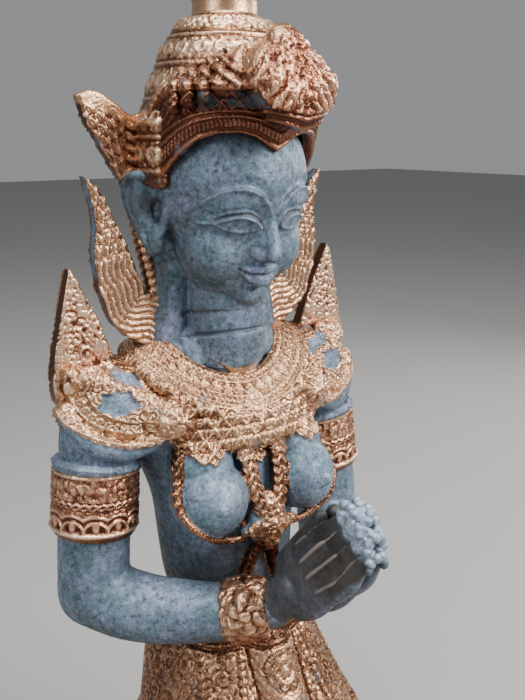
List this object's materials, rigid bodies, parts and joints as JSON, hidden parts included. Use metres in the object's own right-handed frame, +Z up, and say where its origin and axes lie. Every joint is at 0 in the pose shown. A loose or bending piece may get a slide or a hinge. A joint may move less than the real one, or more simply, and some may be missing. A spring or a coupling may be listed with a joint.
{
  "type": "kneeling thepphanom statue",
  "caption": "Cast bronze guardian angel, kneeling with hands pressed together, with tiered crown and gilded ornaments, on a low plinth.",
  "frame": {"origin": "middle of the underside of the plinth", "axes": "+Z up along the crown's spire, -Y the way the figure faces, +X the figure's own left"},
  "size_m": [0.16, 0.212, 0.5081],
  "materials": {
    "patina": "cast bronze with a blue-grey patina",
    "gilding": "worn copper-gold gilding on the cast ornaments",
    "plinth_bronze": "cast bronze, dark brown patina"
  },
  "bodies": {
    "root": {"figure": "patina", "plinth": "plinth_bronze"}
  },
  "joints": []
}
